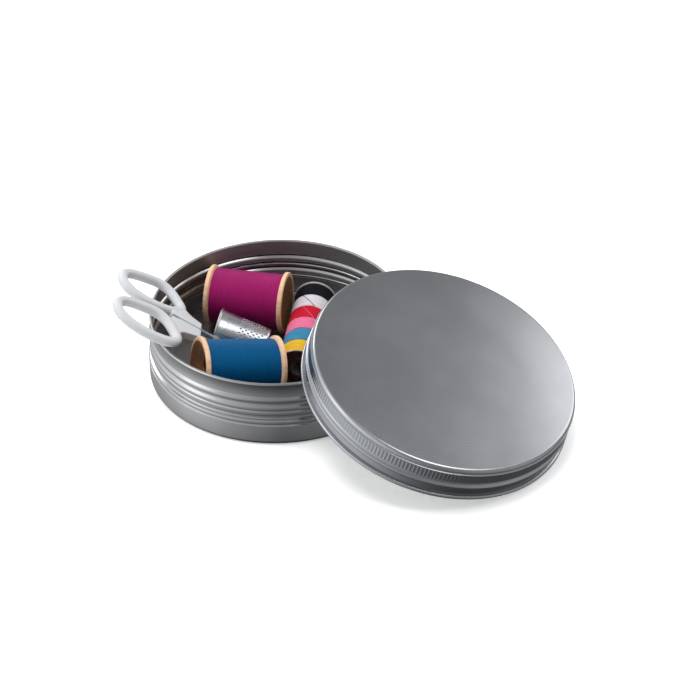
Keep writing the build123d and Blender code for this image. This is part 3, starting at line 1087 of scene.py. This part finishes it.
@dataclass
class Scissors:
    """Small scissors with round plastic finger loops."""

    middle: Vector = field(default_factory=lambda: Vector((-39.8, -5.9, 27.5)))
    bearing: float = -3.2
    dip: float = 33.0
    roll: float = 7.0
    half_length: float = 10.4
    half_width: float = 7.4
    loop_offset: float = 9.35
    loop_twist: float = 2.3
    loop_overlap: float = 0.6
    rod: float = 1.65
    squareness: float = 0.605
    shank_end: float = 19.0
    front_fullness: float = 1.1
    pivot_at: float = 24.0
    tang_from: float = 12.5
    blade_end: float = 40.5
    blade_thickness: float = 0.9
    tang_edges: Point = (0.6, 2.1)
    tip_edges: Point = (-0.15, 0.1)
    blade_gap: float = 0.05
    rivet_head_radius: float = 1.5
    rivet_bore: float = 0.9

    def matrix(self) -> Matrix:
        """The scissors' place: x from the loops to the tips, z up out of their plane."""
        along = direction(self.bearing, -self.dip)
        back = direction(self.bearing + 90, 0)
        turn = math.radians(self.roll)
        up = along.cross(back) * math.cos(turn) + back * math.sin(turn)
        return seat(self.middle, up, along)

    def ring(self, side: Side) -> Piece:
        """Bends a round rod into a finger loop, a little squarer than an ellipse."""
        halves = metres(self.half_length, self.half_width)
        Bench.clear()
        bpy.ops.curve.primitive_bezier_circle_add(radius=1.0)
        loop = bpy.context.active_object
        for point in loop.data.splines[0].bezier_points:
            point.handle_left_type = point.handle_right_type = "FREE"
            centre = point.co.copy()
            for handle in (point.handle_left, point.handle_right):
                way = (handle - centre).normalized()
                handle[:] = centre + way * self.squareness
            for place in (point.co, point.handle_left, point.handle_right):
                place.x *= halves[0]
                place.y *= halves[1]
        loop.data.dimensions = "3D"
        loop.data.resolution_u = 24
        loop.data.bevel_depth = self.rod * MM
        loop.data.bevel_resolution = 6
        bpy.ops.object.convert(target="MESH")
        loop = bpy.context.active_object
        loop.location = metres(0, side.value * self.loop_offset, 0)
        loop.rotation_euler = (0, 0, math.radians(side.value * self.loop_twist))
        Bench.apply()
        return loop

    def shank(self, side: Side) -> Piece:
        """Draws the flat shank out, section by section, from its end to the loop."""
        way = side.value
        more = self.front_fullness / 2 if side is Side.FRONT else 0.0
        stations = [
            (self.shank_end - 0.8, 2.0 + more, 1.7 + more, 1.45),
            (17.0, 2.15 + more, 1.87 + more, 1.5),
            (14.5, 2.6 + more, 2.32 + more, 1.5), (12.6, 3.3 + more / 2, 3.0 + more / 2, 1.5),
            (11.0, 4.5, 4.2, 1.5), (9.6, 5.3, 4.6, 1.45), (7.6, 5.3, 4.6, 1.4),
        ]
        at, across, half, thick = stations[0]
        Bench.clear()
        bpy.ops.mesh.primitive_plane_add(size=2, rotation=(0, math.pi / 2, 0))
        flat = bpy.context.active_object
        Bench.apply()
        flat.scale = (1, half * MM, thick * MM)
        flat.location = metres(at, way * across, 0)
        Bench.apply()
        Bench.edit()
        for next_at, next_across, next_half, next_thick in stations[1:]:
            Bench.draw_out(
                (next_at - at, way * (next_across - across), 0),
                (1, next_half / half, next_thick / thick), (next_at, way * next_across, 0),
            )
            at, across, half, thick = next_at, next_across, next_half, next_thick
        Bench.close()
        return flat

    @staticmethod
    def drill(piece: Piece, place: Point, reach: Point, turn: float = 0.0) -> None:
        """Cuts a round or oval hole through a piece, across the scissors' plane.

        Args:
            piece: The piece, made with x along the scissors.
            place: Along and across, of the hole's middle.
            reach: Half of the hole's length and of its width.
            turn: Angle that the hole is turned by.
        """
        Bench.clear()
        bpy.ops.mesh.primitive_cylinder_add(vertices=64, radius=1, depth=10 * MM)
        cutter = bpy.context.active_object
        cutter.scale = (*metres(*reach), 1)
        cutter.location = (*metres(*place), 0)
        cutter.rotation_euler = (0, 0, math.radians(turn))
        Bench.apply()
        cut = piece.modifiers.new("hole", "BOOLEAN")
        cut.operation = "DIFFERENCE"
        cut.object = cutter
        Bench.finish_modifiers(piece)
        bpy.data.objects.remove(cutter)

    def build_handle(self, side: Side) -> None:
        """Grows loop and shank together into one smooth moulding."""
        way, word = side.value, side.name.lower()
        shank = self.shank(side)
        hole = (self.half_length - self.loop_overlap, self.half_width - self.loop_overlap)
        self.drill(shank, (0, way * self.loop_offset), hole, way * self.loop_twist)
        handle = Bench.join("handle", self.ring(side), shank)
        melt = handle.modifiers.new("melt", "REMESH")
        melt.mode = "VOXEL"
        melt.voxel_size = 0.22 * MM
        soften_all = handle.modifiers.new("soften", "SMOOTH")
        soften_all.factor = 0.5
        soften_all.iterations = 7
        Bench.finish_modifiers(handle)
        handle.name = word + "_finger_loop"
        finish = MouldedPlastic(word + "_white_plastic", self.matrix())
        Bench.finished(handle, 60, finish, word + "_half", "white_plastic", word + "_handle")

    def build_blade(self, side: Side) -> None:
        """Makes a blade as a plain strip that narrows from its tang to its tip.

        The strip doesn't follow the outline of the blade's node, which is wider at the rivet.
        """
        way, word = side.value, side.name.lower()
        tang, end, pivot = self.tang_from, self.blade_end, self.pivot_at
        (low, high), (tip_low, tip_high) = self.tang_edges, self.tip_edges
        Bench.clear()
        bpy.ops.mesh.primitive_plane_add(size=1)
        blade = bpy.context.active_object
        blade.scale = (*metres(end - tang, high - low), 1)
        blade.location = metres((tang + end) / 2, way * (low + high) / 2, 0)
        Bench.apply()
        Bench.edit()
        Bench.select_where(lambda place: place.x > pivot * MM)
        bpy.ops.transform.translate(
            value=metres(0, way * (tip_low + tip_high - low - high) / 2, 0)
        )
        bpy.ops.transform.resize(
            value=(1, (tip_high - tip_low) / (high - low), 1),
            center_override=metres(end, way * (tip_low + tip_high) / 2, 0),
        )
        Bench.close(merge=False)
        blade.location.z = way * (self.blade_gap + self.blade_thickness / 2) * MM
        Bench.apply()
        body = blade.modifiers.new("thickness", "SOLIDIFY")
        body.thickness = self.blade_thickness * MM
        body.offset = 0
        grind = blade.modifiers.new("ground edges", "BEVEL")
        grind.width = 0.16 * MM
        grind.segments = 2
        grind.limit_method = "ANGLE"
        Bench.finish_modifiers(blade)
        self.drill(blade, (pivot, 0), (self.rivet_bore, self.rivet_bore))
        blade.name = word + "_cutting_blade"
        finish = SilverMetal(
            word + "_blade_steel", self.matrix(), (0.60, 0.61, 0.62), 0.24, (0.2, 3.0, 3.0)
        )
        Bench.finished(blade, 30, finish, word + "_half", "blade_steel", word + "_blade")

    def build_rivet(self) -> None:
        """Turns the rivet with two domed heads."""
        reach, out = 1.0, self.rivet_head_radius
        half = soften([
            (0.8, 0, 0), (0.8, reach, 0), (out, reach, 0.1), (out, reach + 0.22, 0.15),
            (0.75, reach + 0.46, 0.5), (0, reach + 0.5, 0),
        ], 4)
        rivet = Bench.lathe("rivet_pin", [(r, -z) for r, z in half[::-1]] + half[1:], 48)
        rivet.location = metres(self.pivot_at, 0, 0)
        Bench.apply()
        finish = SilverMetal("rivet_steel", self.matrix(), (0.62, 0.62, 0.63), 0.2)
        Bench.finished(rivet, 35, finish, "scissors_pin", "rivet_steel", "scissors_rivet")


# ------------------------------------------------------------------ stick of threads


@dataclass(frozen=True)
class Band:
    """One colour wound on the stick."""

    name: str
    colour: Colour
    slot: str


@dataclass(frozen=True)
class Stray:
    """A loose thread that lies round the stick, over the bands."""

    band: str
    start: float
    rise: float
    angle: float
    sweep: float


@dataclass
class ThreadStick:
    """A clear plastic tube with end flanges, wound with bands of thread."""

    rear: Point = (11.7, 26.65)
    front: Point = (6.5, -12.65)
    above_floor: float = 0.05
    band_length: float = 6.33
    band_radius: float = 6.8
    flange_radius: float = 7.0
    flange: float = 0.8
    tube_radius: float = 3.6
    bore: float = 2.5
    thread: float = 0.3
    bands: tuple[Band, ...] = (
        Band("black", (0.004, 0.004, 0.006), "black_thread"),
        Band("white", (0.56, 0.53, 0.56), "white_thread"),
        Band("red", (0.46, 0.012, 0.03), "red_thread"),
        Band("pink", (0.62, 0.15, 0.26), "pink_thread"),
        Band("blue", (0.045, 0.20, 0.34), "stick_blue_thread"),
        Band("yellow", (0.66, 0.40, 0.035), "yellow_thread"),
    )
    stray_thread: float = 0.28
    strays: tuple[Stray, ...] = (
        Stray("black", 7.2, 6.4, 118, -42), Stray("pink", 13.9, 6.6, 112, -44),
    )

    def matrix(self) -> Matrix:
        """The stick's place, its rear end at the origin."""
        height = SHEET + self.flange_radius + self.above_floor
        rear, front = Vector((*self.rear, height)), Vector((*self.front, height))
        return seat(rear, front - rear)

    def build_tube(self) -> None:
        """Turns the tube with its two thin flanges."""
        total = len(self.bands) * self.band_length + 2 * self.flange
        out, rim, tube = self.flange_radius, self.flange, self.tube_radius
        outline = soften([
            (self.bore, 0, 0), (tube + 0.4, 0, 0.2), (tube + 0.7, 0.2, 0.15),
            (out - 0.9, 0.2, 0.15), (out - 0.6, 0, 0.15), (out, 0, 0.2), (out, rim, 0.2),
            (tube, rim, 0.1),
            (tube, total - rim, 0.1), (out, total - rim, 0.2), (out, total, 0.2),
            (out - 0.6, total, 0.15), (out - 0.9, total - 0.2, 0.15),
            (tube + 0.7, total - 0.2, 0.15), (tube + 0.4, total, 0.2),
            (self.bore, total, 0.15), (self.bore, 0, 0),
        ], 4)
        stick = Bench.lathe("stick_tube", outline, 96)
        # The finish paints the tube's front end dark red-brown, as painted shade.
        finish = SmokyPlastic("stick_plastic", self.matrix(), total - 0.45 * rim)
        Bench.finished(stick, 40, finish, "stick", "stick_plastic", "thread_stick")

    def build_band(self, index: int) -> None:
        """Winds one colour: a full core and close turns over it.

        Args:
            index: Place of the band, from the rear.
        """
        band = self.bands[index]
        start = self.flange + index * self.band_length
        end = start + self.band_length
        outer = self.band_radius - self.thread / 2
        core = Bench.lathe(band.name + "_core", soften([
            (self.tube_radius, start, 0), (outer, start + 0.02, 0.5), (outer, end - 0.02, 0.5),
            (self.tube_radius, end, 0), (self.tube_radius, start, 0),
        ], 4), 80)
        turns = int((self.band_length - self.thread) / self.thread)
        pitch = (self.band_length - 1.6 * self.thread) / turns
        wound = Bench.strand(
            band.name + "_turns", outer, self.thread, start + 0.8 * self.thread, pitch, turns, 48,
            40 * index,
        )
        strays = [
            Bench.strand(
                "%s_stray_%d" % (band.name, number), self.band_radius, self.stray_thread,
                stray.start, stray.rise, 1, 24, stray.angle, stray.sweep,
            )
            for number, stray in enumerate(self.strays) if stray.band == band.name
        ]
        piece = Bench.join(band.name + "_wound", wound, core, *strays)
        finish = SewingThread(band.slot, self.matrix(), band.colour, 2.0)
        Bench.finished(piece, 60, finish, "stick", band.slot, band.name + "_band")

    def build(self) -> None:
        """Builds the tube and all of its bands."""
        self.build_tube()
        for index in range(len(self.bands)):
            self.build_band(index)


# ------------------------------------------------------------------ studio


@dataclass(frozen=True)
class Lamp:
    """A soft rectangular light. Power in watts."""

    name: str
    place: tuple[float, float, float]
    size: Point
    power: float
    aim: tuple[float, float, float] = (20, -10, 10)
    mirrored: bool = True

    def hang(self) -> None:
        """Hangs the light, facing its aim."""
        light = bpy.data.lights.new(self.name, "AREA")
        light.shape = "RECTANGLE"
        light.size, light.size_y = metres(*self.size)
        light.energy = self.power
        lamp = bpy.data.objects.new(self.name, light)
        bpy.context.scene.collection.objects.link(lamp)
        place = Vector(self.place)
        lamp.location = place * MM
        lamp.rotation_euler = (place - Vector(self.aim)).to_track_quat("Z", "Y").to_euler()
        lamp.visible_glossy = self.mirrored


@dataclass(frozen=True)
class Gradient:
    """A change of the surroundings' strength along one axis of the direction looked in."""

    axis: int
    start: float
    end: float
    low: float
    high: float


@dataclass
class Studio:
    """Pale floor, soft light and the camera."""

    camera_place: tuple[float, float, float] = (22.96, -522.4, 382.3)
    pitch: float = 35.788
    roll: float = -0.37
    focal_pixels: float = 2000.0
    image_pixels: float = 700.0
    sensor: float = 36.0
    floor_side: float = 12000.0
    lamps: tuple[Lamp, ...] = (
        Lamp("main", (-280, 260, 1880), (1300, 1300), 34.0, mirrored=False),
        Lamp("top panel", (310, -105, 610), (400, 260), 0.9),
        Lamp("left panel", (-700, -200, 420), (360, 420), 0.45),
        Lamp("rim panel", (-350, 500, 345), (420, 230), 0.8),
        Lamp("lid panel", (520, 300, 290), (330, 420), 0.75, (80, -30, 20)),
    )
    surroundings: tuple[Gradient, ...] = (
        Gradient(0, -0.85, 0.05, 0.85, 0.3),
        Gradient(2, -0.95, -0.6, 0.1, 1.0),
        Gradient(2, -0.55, 0.05, 1.0, 1.7),
        Gradient(2, 0.35, 0.72, 1.0, 0.74),
        Gradient(1, 0.0, 0.5, 1.0, 0.75),
        Gradient(1, -1.0, -0.3, 0.6, 1.0),
    )

    def floor(self) -> None:
        """A wide plain sheet under the tin."""
        Bench.clear()
        bpy.ops.mesh.primitive_plane_add(size=self.floor_side * MM, location=(0, 0, 0))
        sheet = bpy.context.active_object
        sheet.name = "studio_floor"
        material = bpy.data.materials.new("studio_floor")
        Sketchpad(material, "Principled BSDF").set(
            Base_Color=(0.92, 0.92, 0.92, 1), Roughness=0.9, Specular_IOR_Level=0.1,
            Emission_Color=(1, 1, 1, 1), Emission_Strength=0.28,
        )
        sheet.data.materials.append(material)
        sheet.visible_glossy = False

    def world(self) -> None:
        """Plain surroundings, pale on the left and grey elsewhere."""
        world = bpy.data.worlds.new("studio")
        bpy.context.scene.world = world
        pad = Sketchpad(world, "Background")
        ahead = pad.split(pad.node("ShaderNodeTexCoord", {}).outputs["Generated"])
        strength = None
        for part in self.surroundings:
            ramp = pad.range(ahead[part.axis], part.low, part.high, part.start, part.end)
            strength = ramp if strength is None else pad.math("MULTIPLY", strength, ramp)
        pad.set(Strength=strength, Color=(0.96, 0.98, 1.0, 1))

    def camera(self) -> None:
        """The camera at the photograph's place and angle."""
        data = bpy.data.cameras.new("camera")
        data.sensor_width = self.sensor
        data.lens = self.focal_pixels / self.image_pixels * self.sensor
        data.clip_start, data.clip_end = 0.01, 20.0
        camera = bpy.data.objects.new("camera", data)
        bpy.context.scene.collection.objects.link(camera)
        tilt, turn = math.radians(self.pitch), math.radians(self.roll)
        ahead = Vector((0, math.cos(tilt), -math.sin(tilt)))
        right = Vector((1, 0, 0))
        above = Vector((0, math.sin(tilt), math.cos(tilt)))
        across = right * math.cos(turn) + above * math.sin(turn)
        upright = above * math.cos(turn) - right * math.sin(turn)
        axes = Matrix((across, upright, -ahead)).transposed().to_4x4()
        camera.matrix_world = Matrix.Translation(Vector(self.camera_place) * MM) @ axes
        bpy.context.scene.camera = camera

    def build(self) -> None:
        """Sets the studio up."""
        bpy.context.scene.view_settings.view_transform = "Standard"
        self.floor()
        for lamp in self.lamps:
            lamp.hang()
        self.world()
        self.camera()


# ------------------------------------------------------------------ main


def spools() -> tuple[ThreadSpool, ThreadSpool]:
    """The magenta spool, which lies level, and the blue one, with its right end down.

    Returns:
        Both spools, not yet built.
    """
    radius, half_length, dip = 10.1, 13.0, 11.6
    drop = half_length * math.sin(math.radians(dip))
    blue_height = SHEET + radius * math.cos(math.radians(dip)) + drop + 0.3
    magenta_place = seat(Vector((-10.3, 20.95, SHEET + radius + 1.1)), direction(-11.4, 0))
    blue_place = seat(Vector((-11.97, -19.7, blue_height)), direction(17.2, -dip))
    magenta, blue = (0.245, 0.0055, 0.086), (0.0005, 0.055, 0.16)
    return (
        ThreadSpool("magenta", "magenta_reel", "magenta_thread", magenta_place, magenta),
        ThreadSpool("blue", "blue_reel", "blue_thread", blue_place, blue),
    )


def main() -> None:
    """Builds every piece in order."""
    logging.basicConfig(level=logging.INFO, format="%(name)s %(message)s")
    TinBody().build()
    lid = Lid()
    lid.build_liner()
    lid.build_shell()
    for spool in spools():
        spool.build_wood()
        spool.build_thread()
    Thimble(seat(Vector((-20.4, 4.3, 10.4)), direction(-10.0, -14.0))).build()
    scissors = Scissors()
    for side in Side:
        scissors.build_blade(side)
        scissors.build_handle(side)
    scissors.build_rivet()
    ThreadStick().build()
    Studio().build()
    bpy.context.view_layer.update()


if __name__ == "__main__":
    main()
